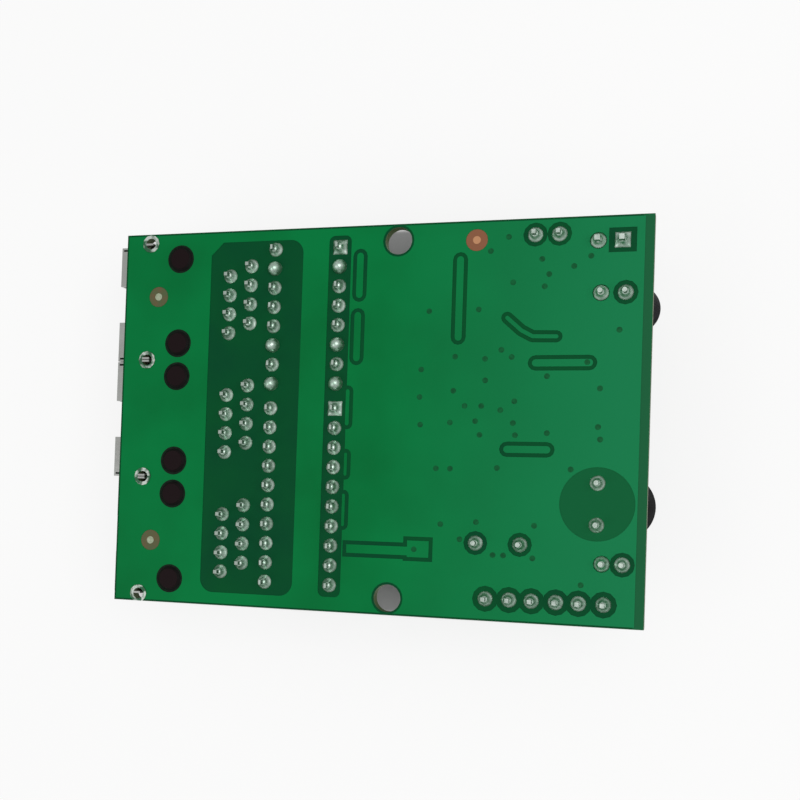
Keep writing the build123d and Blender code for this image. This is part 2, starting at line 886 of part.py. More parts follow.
def lamp_lens(x, y):
    """A round lamp: flange with a flat, straight barrel and a dome drawn in a few steps."""
    radius = lamp_size / 2
    shoulder = lamp_height - radius
    flange = lamp_flange / 2
    points = [(0, 0), (flange, 0), (flange, lamp_flange_thick), (radius, lamp_flange_thick)]
    for step in range(dome_steps + 1):
        turn = radians(90 * step / dome_steps)
        points.append((radius * cos(turn), shoulder + radius * sin(turn)))
    lens = revolve(Plane.XZ * make_face(Polyline(*points, close=True)), Axis.Z)
    flat = lamp_flange / 2 - 0.15
    lens -= span_box(flat, flat + 2, -3, 3, -1, lamp_flange_thick)
    return Pos(x, y, lamp_lift) * lens


def lamp_wires(places):
    """Square lamp leads, which end at the underside of the flange."""
    height = board_thick + pin_reach + lamp_lift
    return [block(lamp_lead, lamp_lead, height, x, y, solder_face - pin_reach) for x, y in places]


def inlet_housing():
    """The open shroud of the two-pin power inlet, with keying slots."""
    shroud = block(inlet_length, inlet_width, inlet_height, 0, 0, 0)
    room_length = inlet_length - 2 * inlet_wall
    key_floor = inlet_floor + 1.5
    shroud -= block(room_length, inlet_width - 2 * inlet_wall, inlet_height, 0, 0, inlet_floor)
    for side in (-1, 1):
        shroud -= block(1.0, 2 * inlet_wall, inlet_height, side * 1.6, inlet_width / 2, key_floor)
        shroud -= block(2 * inlet_wall, 1.2, inlet_height, side * inlet_length / 2, 0.4, key_floor)
        pin_way = block(inlet_pin + 0.04, inlet_pin + 0.04, inlet_height, side * inlet_pitch / 2, 0, -1)
        shroud -= pin_way
    return Pos(inlet_x, inlet_edge, 0) * shroud


def inlet_posts():
    height = board_thick + pin_reach + inlet_pin_height
    return [block(inlet_pin, inlet_pin, height, x, y, solder_face - pin_reach) for x, y in inlet_pins]


def regulator_body():
    body = block(regulator_length, regulator_width, regulator_thick, 0, 0, 0.1)
    body = chamfer(body.faces().sort_by(Axis.Z)[-1].edges().filter_by(Axis.X), 0.3)
    return Pos(regulator_x, regulator_y, 0) * body


def regulator_leads():
    level = 0.75
    inner = regulator_width / 2
    lead = gull_lead(inner, regulator_span / 2, level, regulator_lead_thick, regulator_lead_wide, 0.5)
    leads = []
    for side in (90, 270):
        for k in range(regulator_side_leads):
            offset = regulator_pitch * (k - (regulator_side_leads - 1) / 2)
            leads.append(Pos(regulator_x, regulator_y, 0) * Rot(0, 0, side) * Pos(0, offset, 0) * lead)
    return leads


def diode_body():
    body = block(diode_length, diode_width, diode_height - 0.1, diode_x, diode_y, 0.1)
    return chamfer(body.faces().sort_by(Axis.Z)[-1].edges(), 0.25)


def diode_leads():
    """Two flat leads folded down the ends of the body and under it."""
    outline = Polyline(
        (diode_length / 2, 1.1),
        (diode_length / 2 + 0.2, 1.1),
        (diode_length / 2 + 0.2, 0),
        (diode_length / 2 - diode_foot, 0),
        (diode_length / 2 - diode_foot, 0.1),
        (diode_length / 2, 0.1),
        close=True,
    )
    lead = extrude(Plane.XZ * make_face(outline), amount=diode_lead_wide / 2, both=True)
    return [Pos(diode_x, diode_y, 0) * Rot(0, 0, turn) * lead for turn in (0, 180)]


def chip_part_places():
    """Chip resistors and chip capacitors, each with its turn about z."""
    resistors = [(x, lamp_y - lamp_resistor_rise, 0) for x in lamp_places[:2]]
    for start, step, count in (resistor_group_one, resistor_group_two):
        for k in range(count):
            resistors.append((board_length * resistor_share_x, board_width * (start + step * k), 0))
    capacitors = [(board_length * x, board_width * y, 0) for x, y in supply_capacitors]
    for offset in ring_offsets:
        for side in (-1, 1):
            capacitors.append((chip_x + side * capacitor_ring, chip_y + offset, 90))
            capacitors.append((chip_x + offset, chip_y + side * capacitor_ring, 0))
    return resistors, capacitors


def chip_part(height, x, y, turn):
    """One chip part as its body and its two tinned ends."""
    body_length = chip_part_length - 2 * chip_end
    place = Pos(x, y, 0) * Rot(0, 0, turn)
    body = place * block(body_length, chip_part_width, height, 0, 0, 0)
    end_x = (chip_part_length - chip_end) / 2
    ends = [place * block(chip_end, chip_part_width, height, side * end_x, 0, 0) for side in (-1, 1)]
    return body, ends


def chip_parts(places, height):
    bodies = []
    tips = []
    for x, y, turn in places:
        body, ends = chip_part(height, x, y, turn)
        bodies.append(body)
        tips += ends
    return bodies, tips


def build_nodes():
    """Every separate piece of the board, by name."""
    nodes = {
        "circuit_board": circuit_board(),
        "solder_side_copper": solder_side_copper(),
        "fiducial_marks": fiducial_marks(),
        "jack_pin_solder": jack_solder(),
        "shield_tab_rings": tab_rings(),
        "transformer_solder": transformer_solder(),
        "small_part_solder": small_part_solder(),
    }
    for number, middle in enumerate(jack_middles, 1):
        has_lips = number <= lip_jacks
        nodes[f"jack_{number}_housing"] = jack_housing(middle, has_lips)
        nodes[f"jack_{number}_shield"] = jack_shield(middle, has_lips)
        nodes[f"jack_{number}_contacts"] = jack_contacts(middle)
    nodes["transformer_16_pin_body"] = transformer_body(transformer_one_pins, transformer_one_start)
    nodes["transformer_16_pin_leads"] = transformer_leads(transformer_one_places, short_pins)
    nodes["transformer_20_pin_body"] = transformer_body(transformer_two_pins, transformer_two_start)
    nodes["transformer_20_pin_leads"] = transformer_leads(transformer_two_places)
    nodes["switch_chip_body"] = chip_body()
    nodes["switch_chip_leads"] = chip_leads()
    nodes["crystal_base"] = crystal_base()
    nodes["crystal_can"] = crystal_can()
    nodes["crystal_leads"] = round_leads(crystal_pins, nodes["crystal_base"], 1)
    nodes["choke_core"] = choke_place(choke_core_form())
    nodes["choke_winding"] = choke_place(choke_winding_form())
    nodes["choke_sleeve"] = choke_place(choke_sleeve_form())
    choke_solids = [nodes["choke_core"], nodes["choke_sleeve"]]
    nodes["choke_leads"] = round_leads(choke_pins, choke_solids, 3)
    nodes["big_capacitor_can"] = big_cap_place(can_form(big_cap_size, big_cap_length))
    nodes["big_capacitor_sleeve"] = big_cap_place(cap_sleeve_form(big_cap_size, big_cap_length))
    nodes["big_capacitor_bung"] = big_cap_place(bung_form(big_cap_size))
    nodes["big_capacitor_leads"] = round_leads(big_cap_pins, nodes["big_capacitor_bung"], 3)
    nodes["small_capacitor_can"] = small_cap_place(can_form(small_cap_size, small_cap_length))
    nodes["small_capacitor_sleeve"] = small_cap_place(cap_sleeve_form(small_cap_size, small_cap_length))
    nodes["small_capacitor_bung"] = small_cap_place(bung_form(small_cap_size))
    nodes["small_capacitor_leads"] = round_leads(small_cap_pins, nodes["small_capacitor_bung"], 2)
    nodes["port_lamp_lenses"] = [lamp_lens(x, lamp_y) for x in lamp_places]
    nodes["port_lamp_leads"] = lamp_wires(lamp_pins)
    nodes["power_lamp_lens"] = lamp_lens(power_lamp_x, power_lamp_edge)
    nodes["power_lamp_leads"] = lamp_wires(power_lamp_pins)
    nodes["power_inlet_housing"] = inlet_housing()
    nodes["power_inlet_pins"] = inlet_posts()
    nodes["regulator_body"] = regulator_body()
    nodes["regulator_leads"] = regulator_leads()
    nodes["diode_body"] = diode_body()
    nodes["diode_leads"] = diode_leads()
    resistors, capacitors = chip_part_places()
    resistor_parts = chip_parts(resistors, resistor_height)
    nodes["chip_resistor_bodies"], nodes["chip_resistor_ends"] = resistor_parts
    capacitor_parts = chip_parts(capacitors, capacitor_height)
    nodes["chip_capacitor_bodies"], nodes["chip_capacitor_ends"] = capacitor_parts
    return nodes


def gather(pieces):
    """One compound of all the solids of a node."""
    if not isinstance(pieces, list):
        pieces = [pieces]
    return Compound([solid for piece in pieces for solid in piece.solids()])


def main():
    nodes = {name: gather(pieces) for name, pieces in build_nodes().items()}
    box = Compound(list(nodes.values())).bounding_box()
    middle_x = (box.min.X + box.max.X) / 2
    middle_y = (box.min.Y + box.max.Y) / 2
    # Turned over about x: the solder side looks up and the lowest point lies at z = 0.
    turned_over = Pos(-middle_x, middle_y, box.max.Z) * Rot(180, 0, 0)
    os.makedirs("parts", exist_ok=True)
    for name, node in nodes.items():
        export_step(turned_over * node, f"parts/{name}.step")


main()
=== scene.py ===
import bpy
import bmesh
import random
from math import cos, pi, radians, sin
from mathutils import Matrix, Vector


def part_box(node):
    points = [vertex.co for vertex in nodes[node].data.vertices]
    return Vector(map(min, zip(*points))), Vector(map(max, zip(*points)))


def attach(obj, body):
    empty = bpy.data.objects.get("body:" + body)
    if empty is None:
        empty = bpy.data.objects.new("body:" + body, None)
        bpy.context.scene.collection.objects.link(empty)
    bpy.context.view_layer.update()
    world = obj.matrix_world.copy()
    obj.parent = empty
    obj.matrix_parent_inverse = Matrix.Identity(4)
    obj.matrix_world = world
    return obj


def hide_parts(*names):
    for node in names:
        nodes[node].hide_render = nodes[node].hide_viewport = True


# A small network switch board that lies solder side up on its jacks.
# Metres, with +Z out of the solder side and the jacks along the -X edge.

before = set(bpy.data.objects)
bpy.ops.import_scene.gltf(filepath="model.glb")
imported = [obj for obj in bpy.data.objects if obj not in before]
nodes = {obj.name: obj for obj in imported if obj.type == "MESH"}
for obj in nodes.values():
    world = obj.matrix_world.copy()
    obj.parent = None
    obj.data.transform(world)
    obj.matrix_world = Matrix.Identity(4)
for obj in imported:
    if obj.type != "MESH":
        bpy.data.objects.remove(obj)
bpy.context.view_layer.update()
mm = 0.001
print("frame loaded:", len(nodes), "CAD nodes")


def hexColour(code):
    # an sRGB hex value as the linear colour that shaders take
    parts = [int(code[k:k + 2], 16) / 255 for k in (1, 3, 5)]
    return [c / 12.92 if c <= 0.04045 else ((c + 0.055) / 1.055) ** 2.4 for c in parts] + [1.0]


def addNode(tree, kind, settings=None, values=None, links=None):
    node = tree.nodes.new(kind)
    for name, value in (settings or {}).items():
        setattr(node, name, value)
    for name, value in (values or {}).items():
        node.inputs[name].default_value = value
    for name, socket in (links or {}).items():
        tree.links.new(socket, node.inputs[name])
    return node


def newMaterial(name, colour, roughness, metallic=0.0, ior=1.5, specular=0.5):
    material = bpy.data.materials.new(name)
    material.use_nodes = True
    tree = material.node_tree
    shader = tree.nodes["Principled BSDF"]
    shader.inputs["Base Color"].default_value = hexColour(colour)
    shader.inputs["Roughness"].default_value = roughness
    shader.inputs["Metallic"].default_value = metallic
    shader.inputs["IOR"].default_value = ior
    shader.inputs["Specular IOR Level"].default_value = specular
    return material, tree, shader


def objectPlace(tree, scale=(1, 1, 1)):
    place = addNode(tree, "ShaderNodeTexCoord")
    return addNode(tree, "ShaderNodeMapping", values={"Scale": scale}, links={"Vector": place.outputs["Object"]})


def mottle(tree, shader, first, second, sizeMm, low=0.35, high=0.65, stretch=(1, 1, 1), detail=3.0):
    # base colour that drifts between two hex colours in patches of the given size
    place = objectPlace(tree, stretch)
    noise = addNode(tree, "ShaderNodeTexNoise", values={"Scale": 1000 / sizeMm, "Detail": detail},
                    links={"Vector": place.outputs["Vector"]})
    level = addNode(tree, "ShaderNodeMapRange", values={"From Min": low, "From Max": high},
                    links={"Value": noise.outputs["Fac"]})
    mix = addNode(tree, "ShaderNodeMix", {"data_type": "RGBA"}, {6: hexColour(first), 7: hexColour(second)},
                  {0: level.outputs["Result"]})
    tree.links.new(mix.outputs[2], shader.inputs["Base Color"])
    return mix


def tintPast(tree, shader, base, code, axis, limitMm):
    # base colour that changes to one hex colour where a coordinate is past the limit
    place = addNode(tree, "ShaderNodeTexCoord")
    parts = addNode(tree, "ShaderNodeSeparateXYZ", links={"Vector": place.outputs["Object"]})
    isPast = addNode(tree, "ShaderNodeMath", {"operation": "GREATER_THAN"}, {1: limitMm * mm},
                     {0: parts.outputs[axis]})
    mix = addNode(tree, "ShaderNodeMix", {"data_type": "RGBA"}, {7: hexColour(code)},
                  {0: isPast.outputs["Value"], 6: base.outputs[2]})
    tree.links.new(mix.outputs[2], shader.inputs["Base Color"])
    return mix


def grain(tree, shader, sizeMm, depthMm, stretch=(1, 1, 1), spread=0.0, roughness=None):
    # fine relief from noise of the given grain, and with spread a roughness that follows it
    place = objectPlace(tree, stretch)
    noise = addNode(tree, "ShaderNodeTexNoise", values={"Scale": 1000 / sizeMm, "Detail": 2.0},
                    links={"Vector": place.outputs["Vector"]})
    bump = addNode(tree, "ShaderNodeBump", values={"Distance": depthMm * mm, "Strength": 1.0},
                   links={"Height": noise.outputs["Fac"]})
    tree.links.new(bump.outputs["Normal"], shader.inputs["Normal"])
    if spread:
        ends = {"From Min": 0.3, "From Max": 0.7, "To Min": roughness - spread, "To Max": roughness + spread}
        level = addNode(tree, "ShaderNodeMapRange", values=ends, links={"Value": noise.outputs["Fac"]})
        tree.links.new(level.outputs["Result"], shader.inputs["Roughness"])


def dress(material, *names):
    for name in names:
        for slot in nodes[name].material_slots:
            slot.material = material


def finishPiece(name, bm, material):
    bmesh.ops.recalc_face_normals(bm, faces=bm.faces)
    mesh = bpy.data.meshes.new(name)
    bm.to_mesh(mesh)
    bm.free()
    for polygon in mesh.polygons:
        polygon.use_smooth = True
    piece = bpy.data.objects.new(name, mesh)
    bpy.context.scene.collection.objects.link(piece)
    mesh.materials.append(material)
    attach(piece, "root")
    return piece


def looseParts(name):
    # the middle, the lowest and highest corner, and the points in the foot of each loose solid of a CAD node
    bm = bmesh.new()
    bm.from_mesh(nodes[name].data)
    bmesh.ops.remove_doubles(bm, verts=bm.verts, dist=0.001 * mm)
    parts, seen = [], set()
    for start in bm.verts:
        if start in seen:
            continue
        group, queue = [], [start]
        seen.add(start)
        while queue:
            vert = queue.pop()
            group.append(vert.co.copy())
            for edge in vert.link_edges:
                other = edge.other_vert(vert)
                if other not in seen:
                    seen.add(other)
                    queue.append(other)
        low = Vector([min(co[k] for co in group) for k in range(3)])
        high = Vector([max(co[k] for co in group) for k in range(3)])
        foot = [co for co in group if co.z < low.z + 0.02 * mm]
        parts.append({"middle": (low + high) / 2, "low": low, "high": high, "corners": len(foot)})
    bm.free()
    return parts


# The camera stands where the photo was taken from, to the right of the board's middle.
cameraValues = {
    "location": (0.04376, -0.01317, 0.16961),
    "turnDegrees": (1.951, 18.464, 2.109),
    "lensMm": 56.25,
    "sensorMm": 36.0,
    "shift": (0.1239, 0.1138),
    "clipStart": 0.01,
}
cameraData = bpy.data.cameras.new("photoCamera")
cameraData.lens = cameraValues["lensMm"]
cameraData.sensor_width = cameraValues["sensorMm"]
cameraData.shift_x, cameraData.shift_y = cameraValues["shift"]
cameraData.clip_start = cameraValues["clipStart"]
camera = bpy.data.objects.new("photoCamera", cameraData)
camera.location = cameraValues["location"]
camera.rotation_euler = [radians(a) for a in cameraValues["turnDegrees"]]
bpy.context.scene.collection.objects.link(camera)
bpy.context.scene.camera = camera
print("camera placed")


maskValues = {
    "sheenFromMm": 2,            # painted sheen: the film is painted paler and greyer over this stretch of X
    "sheenToMm": 32,
    "edgeStripMm": 34.3,        # X just inside the right edge of the copper, past which the laminate shows
    "chokeFieldMm": 5.0,        # radius of the paler field under the choke
}

# Solder mask over copper: a cured green epoxy film, screened on, so it is glossy with a faint orange peel.
# Towards the right the film is painted paler and greyer: a painted sheen, where the light glances off the glossy
# film.
maskOnCopper, tree, shader = newMaterial("solderMaskOnCopper", "#007138", 0.42, specular=0.07)
film = mottle(tree, shader, "#006d35", "#00793d", 14.0)
place = addNode(tree, "ShaderNodeTexCoord")
parts = addNode(tree, "ShaderNodeSeparateXYZ", links={"Vector": place.outputs["Object"]})
ends = {"From Min": maskValues["sheenFromMm"] * mm, "From Max": maskValues["sheenToMm"] * mm}
# painted sheen: the colour turns paler and greyer with X
sheenRamp = addNode(tree, "ShaderNodeMapRange", values=ends, links={"Value": parts.outputs["X"]})
paintedSheen = addNode(tree, "ShaderNodeMix", {"data_type": "RGBA"}, {7: hexColour("#147c4b")},
                  {0: sheenRamp.outputs["Result"], 6: film.outputs[2]})
tree.links.new(paintedSheen.outputs[2], shader.inputs["Base Color"])
grain(tree, shader, 1.4, 0.006, spread=0.05, roughness=0.42)

# Solder mask over bare glass-epoxy laminate: the same film without bright copper below, so it is darker.
maskOnLaminate, tree, shader = newMaterial("solderMaskOnLaminate", "#004b26", 0.45, specular=0.07)
film = mottle(tree, shader, "#004e27", "#004728", 9.0)
# Under the choke the laminate is a little paler.
chokeMiddle = sum(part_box("choke_leads"), Vector()) / 2
place = addNode(tree, "ShaderNodeTexCoord")
flatPlace = addNode(tree, "ShaderNodeVectorMath", {"operation": "MULTIPLY"}, {1: (1, 1, 0)},
                    {0: place.outputs["Object"]})
reach = addNode(tree, "ShaderNodeVectorMath", {"operation": "DISTANCE"}, {1: (chokeMiddle.x, chokeMiddle.y, 0)},
                {0: flatPlace.outputs["Vector"]})
nearChoke = addNode(tree, "ShaderNodeMath", {"operation": "LESS_THAN"}, {1: maskValues["chokeFieldMm"] * mm},
                    {0: reach.outputs["Value"]})
paler = addNode(tree, "ShaderNodeMix", {"data_type": "RGBA"}, {7: hexColour("#0a5f35")},
                {0: nearChoke.outputs["Value"], 6: film.outputs[2]})
# So it is along the right edge, past the copper.
strip = tintPast(tree, shader, paler, "#1a5f3a", "X", maskValues["edgeStripMm"])
# The component side, which faces down, is evenly green.
facing = addNode(tree, "ShaderNodeNewGeometry")
parts = addNode(tree, "ShaderNodeSeparateXYZ", links={"Vector": facing.outputs["Normal"]})
isBelow = addNode(tree, "ShaderNodeMath", {"operation": "LESS_THAN"}, {1: -0.5}, {0: parts.outputs["Z"]})
lower = addNode(tree, "ShaderNodeMix", {"data_type": "RGBA"}, {7: hexColour("#05703a")},
                {0: isBelow.outputs["Value"], 6: strip.outputs[2]})
# Sawn edges and drilled walls show the raw laminate in thin layers.
layers = objectPlace(tree, (1, 1, 9))
weave = addNode(tree, "ShaderNodeTexNoise", values={"Scale": 600.0, "Detail": 3.0},
                links={"Vector": layers.outputs["Vector"]})
sawn = addNode(tree, "ShaderNodeMix", {"data_type": "RGBA"}, {6: hexColour("#35492f"), 7: hexColour("#7c8a62")},
               {0: weave.outputs["Fac"]})
upright = addNode(tree, "ShaderNodeMath", {"operation": "ABSOLUTE"}, links={0: parts.outputs["Z"]})
isFlat = addNode(tree, "ShaderNodeMath", {"operation": "GREATER_THAN"}, {1: 0.5}, {0: upright.outputs["Value"]})
whole = addNode(tree, "ShaderNodeMix", {"data_type": "RGBA"},
                links={0: isFlat.outputs["Value"], 6: sawn.outputs[2], 7: lower.outputs[2]})
tree.links.new(whole.outputs[2], shader.inputs["Base Color"])
grain(tree, shader, 1.2, 0.006, spread=0.05, roughness=0.45)

# Bare laminate round an alignment mark: unmasked resin over glass cloth, brown and dull.
# The mark at the top, the only one past the middle, is the rustiest.
bareLaminate, tree, shader = newMaterial("bareLaminate", "#5a4326", 0.6)
ring = mottle(tree, shader, "#4a5731", "#5e4f2d", 0.9)
tintPast(tree, shader, ring, "#84502f", "X", 0.0)
grain(tree, shader, 0.4, 0.01)

# Tin-lead solder: frozen from the melt, bright with soft dull patches and a film of flux.
solderMetal, tree, shader = newMaterial("tinLeadSolder", "#bdd6c6", 0.4, metallic=1.0)
mottle(tree, shader, "#a8c6b3", "#d3e4d9", 0.7)
grain(tree, shader, 0.35, 0.012, spread=0.08, roughness=0.4)

# Solder round the shield tabs: thin and patchy, with green mask and flux between.
patchySolder, tree, shader = newMaterial("patchySolder", "#93ab99", 0.45, metallic=0.8)
mottle(tree, shader, "#3f6b50", "#d3dcd4", 1.0, low=0.43, high=0.57)
grain(tree, shader, 0.35, 0.02, spread=0.08, roughness=0.45)

# Tinned copper leads: dull silver, faintly drawn along their length.
tinnedLead, tree, shader = newMaterial("tinnedCopperLead", "#bccac0", 0.38, metallic=1.0)
mottle(tree, shader, "#b0c0b5", "#c9d6cd", 0.5, stretch=(1, 1, 0.2))
grain(tree, shader, 0.2, 0.004, stretch=(1, 1, 0.15), spread=0.06, roughness=0.38)

# Tinned steel sheet of the jack shields: rolled and folded, bright with faint rolling lines along it.
tinnedSheet, tree, shader = newMaterial("tinnedSteelSheet", "#b9bab6", 0.3, metallic=1.0)
mottle(tree, shader, "#b2b4b0", "#bec0bc", 5.0)
grain(tree, shader, 0.5, 0.004, stretch=(0.08, 1, 1), spread=0.07, roughness=0.3)

jackValues = {
    "pegEndMm": 15.36,          # just below the end face of a peg, so only that face is tinted
    "tinnedMm": 12.6,           # height past which a contact is tinned, a little below the board
}

# Glass-filled polyester of the jack housings: moulded, black and satin, faintly red on the peg ends.
jackPlastic, tree, shader = newMaterial("mouldedPolyester", "#110f0f", 0.55, specular=0.12)
plastic = mottle(tree, shader, "#0d0c0c", "#181313", 2.5)
tintPast(tree, shader, plastic, "#16080b", "Z", jackValues["pegEndMm"])
grain(tree, shader, 0.25, 0.006, spread=0.06, roughness=0.48)

# Gold flash over nickel on the contact springs: warm and smooth.
# Their board ends are tinned, from a little below the board up.
goldFlash, tree, shader = newMaterial("goldFlash", "#d9b25c", 0.22, metallic=1.0)
gold = mottle(tree, shader, "#cfa54e", "#e2bf70", 1.5)
tintPast(tree, shader, gold, "#bccac0", "Z", jackValues["tinnedMm"])
grain(tree, shader, 0.3, 0.002, spread=0.04, roughness=0.22)

# Epoxy moulding compound of transformers and chips: filled, near black, dull from the tool's spark finish.
mouldedEpoxy, tree, shader = newMaterial("mouldedEpoxy", "#1b1b1c", 0.62)
mottle(tree, shader, "#171718", "#222223", 1.2)
grain(tree, shader, 0.12, 0.008, spread=0.05, roughness=0.62)

# Drawn and plated steel of the crystal: nickel bright, with faint draw lines up the sides.
drawnSteel, tree, shader = newMaterial("nickelPlatedSteel", "#bdbab2", 0.2, metallic=1.0)
mottle(tree, shader, "#b0ada5", "#c8c6bf", 2.0)
grain(tree, shader, 0.25, 0.003, stretch=(1, 1, 0.1), spread=0.05, roughness=0.2)

# Sintered ferrite: dark grey, dull, with tiny bright crystals.
ferrite, tree, shader = newMaterial("sinteredFerrite", "#2a292a", 0.55)
mottle(tree, shader, "#222223", "#3a393a", 0.35)
grain(tree, shader, 0.2, 0.015, spread=0.08, roughness=0.55)

# Enamelled copper wire: wound in close turns, drawn as a ridge every 0.9 mm, coarser than the real wire.
enamelledWire, tree, shader = newMaterial("enamelledCopperWire", "#8c3f17", 0.28, metallic=0.6)
turns = objectPlace(tree)
wave = addNode(tree, "ShaderNodeTexWave", {"bands_direction": "Z"}, {"Scale": 350.0},
               {"Vector": turns.outputs["Vector"]})
bump = addNode(tree, "ShaderNodeBump", values={"Distance": 0.15 * mm}, links={"Height": wave.outputs["Fac"]})
tree.links.new(bump.outputs["Normal"], shader.inputs["Normal"])

# Shrunk black film on the choke: drawn tight with slight ripples, and dull.
shrunkFilm, tree, shader = newMaterial("shrunkFilm", "#0a0a0a", 0.6, specular=0.02)
mottle(tree, shader, "#0a0a0b", "#121213", 3.0)
grain(tree, shader, 1.6, 0.03, stretch=(1, 1, 0.4), spread=0.06, roughness=0.6)

# Drawn aluminium of the capacitor cans: satin, spun round.
drawnAluminium, tree, shader = newMaterial("drawnAluminium", "#c5c7c8", 0.32, metallic=1.0)
mottle(tree, shader, "#b9bbbc", "#d0d2d3", 1.5)
grain(tree, shader, 0.15, 0.004, spread=0.06, roughness=0.32)

# Film round the capacitors: shrunk on, dark and unprinted.
capacitorFilm, tree, shader = newMaterial("capacitorFilm", "#101011", 0.55, specular=0.02)
mottle(tree, shader, "#111113", "#19191c", 2.5)
grain(tree, shader, 1.2, 0.01, spread=0.05, roughness=0.55)

# Moulded black rubber of the bungs: matt.
bungRubber, tree, shader = newMaterial("bungRubber", "#141414", 0.7)
mottle(tree, shader, "#101010", "#1c1c1c", 0.8)
grain(tree, shader, 0.2, 0.01)

# Diffused epoxy of the lamps: cast, tinted and milky, with a glossy skin.
lampEpoxy, tree, shader = newMaterial("diffusedEpoxy", "#5fb348", 0.16, ior=1.53)
mottle(tree, shader, "#55a840", "#6cbd54", 1.5)
shader.inputs["Transmission Weight"].default_value = 0.35
shader.inputs["Subsurface Weight"].default_value = 0.2
shader.inputs["Subsurface Scale"].default_value = 1.0 * mm
grain(tree, shader, 0.8, 0.001, spread=0.03, roughness=0.16)

# Natural nylon of the power inlet: moulded, ivory, slightly translucent.
naturalNylon, tree, shader = newMaterial("naturalNylon", "#e3dcc6", 0.42, ior=1.53)
mottle(tree, shader, "#ddd5bd", "#e9e4d2", 3.0)
shader.inputs["Subsurface Weight"].default_value = 0.15
shader.inputs["Subsurface Scale"].default_value = 0.8 * mm
grain(tree, shader, 0.3, 0.006, spread=0.05, roughness=0.42)

# Fired ceramic of the chip capacitors: tan and smooth.
firedCeramic, tree, shader = newMaterial("firedCeramic", "#9a7f5b", 0.45)
mottle(tree, shader, "#8d7350", "#a88d69", 0.8)
grain(tree, shader, 0.2, 0.004, spread=0.05, roughness=0.45)

# Chip resistors: a black glaze over white alumina, which shows on the sides.
resistorGlaze, tree, shader = newMaterial("glazedAlumina", "#161617", 0.3)
facing = addNode(tree, "ShaderNodeNewGeometry")
parts = addNode(tree, "ShaderNodeSeparateXYZ", links={"Vector": facing.outputs["Normal"]})
isTop = addNode(tree, "ShaderNodeMath", {"operation": "LESS_THAN"}, {1: -0.5}, {0: parts.outputs["Z"]})
speck = addNode(tree, "ShaderNodeTexNoise", values={"Scale": 2500.0},
                links={"Vector": objectPlace(tree).outputs["Vector"]})
alumina = addNode(tree, "ShaderNodeMix", {"data_type": "RGBA"}, {6: hexColour("#cfcdc6"), 7: hexColour("#e6e4de")},
                  {0: speck.outputs["Fac"]})
glaze = addNode(tree, "ShaderNodeMix", {"data_type": "RGBA"}, {7: hexColour("#141416")},
                {0: isTop.outputs["Value"], 6: alumina.outputs[2]})
tree.links.new(glaze.outputs[2], shader.inputs["Base Color"])

dress(maskOnCopper, "solder_side_copper")
dress(maskOnLaminate, "circuit_board")
dress(bareLaminate, "fiducial_marks")
dress(patchySolder, "shield_tab_rings")
for number in (1, 2, 3):
    dress(jackPlastic, f"jack_{number}_housing")
    dress(tinnedSheet, f"jack_{number}_shield")
    dress(goldFlash, f"jack_{number}_contacts")
dress(mouldedEpoxy, "transformer_16_pin_body", "transformer_20_pin_body")
dress(mouldedEpoxy, "switch_chip_body", "regulator_body", "diode_body")
dress(tinnedLead, "transformer_16_pin_leads", "transformer_20_pin_leads", "switch_chip_leads")
dress(tinnedLead, "crystal_leads", "choke_leads", "big_capacitor_leads", "small_capacitor_leads")
dress(tinnedLead, "port_lamp_leads", "power_lamp_leads", "power_inlet_pins")
dress(tinnedLead, "regulator_leads", "diode_leads", "chip_resistor_ends", "chip_capacitor_ends")
dress(drawnSteel, "crystal_base", "crystal_can")
dress(ferrite, "choke_core")
dress(enamelledWire, "choke_winding")
dress(shrunkFilm, "choke_sleeve")
dress(drawnAluminium, "big_capacitor_can", "small_capacitor_can")
dress(capacitorFilm, "big_capacitor_sleeve", "small_capacitor_sleeve")
dress(bungRubber, "big_capacitor_bung", "small_capacitor_bung")
dress(lampEpoxy, "port_lamp_lenses", "power_lamp_lens")
dress(naturalNylon, "power_inlet_housing")
dress(firedCeramic, "chip_capacitor_bodies")
dress(resistorGlaze, "chip_resistor_bodies")
print("CAD nodes dressed")


jointValues = {
    "padMm": 0.95,              # half the width of a pad
    "leadMm": 0.34,             # half the width at the top of the fillet
    "heightMm": 0.95,
    "footMm": 0.06,             # height of the upright edge of the fillet
    "neckMm": 0.1,              # how much wider than the lead the fillet is near its top
    "domeMm": 1.3,              # height of a joint that covers its lead
    "domeDegrees": (20, 38, 54, 68, 80),
    "shortLeadMm": 1.5,         # a lead that stands out less than this is covered
    "rowMm": 0.5,               # a joint this near to a short lead's row, and
    "reachMm": 5,               # this near to it across the row, is its own
    "squareCorners": 8,         # a CAD joint with no more points in its foot has a square pad
    "steps": 24,                # a multiple of 8, so that square pads get their corners
    "uneven": 0.12,             # how much the joints differ
}


def squareOff(verts, centre, high):
    # pulls a round joint out to a square pad at its foot, and leaves its top round
    for vert in verts:
        offset = vert.co - centre
        reach = max(abs(offset.x), abs(offset.y))
        flat = Vector((offset.x, offset.y)).length
        if reach > 0:
            share = 1 + (flat / reach - 1) * max(0.0, 1 - offset.z / high)
            vert.co.x = centre.x + offset.x * share
            vert.co.y = centre.y + offset.y * share


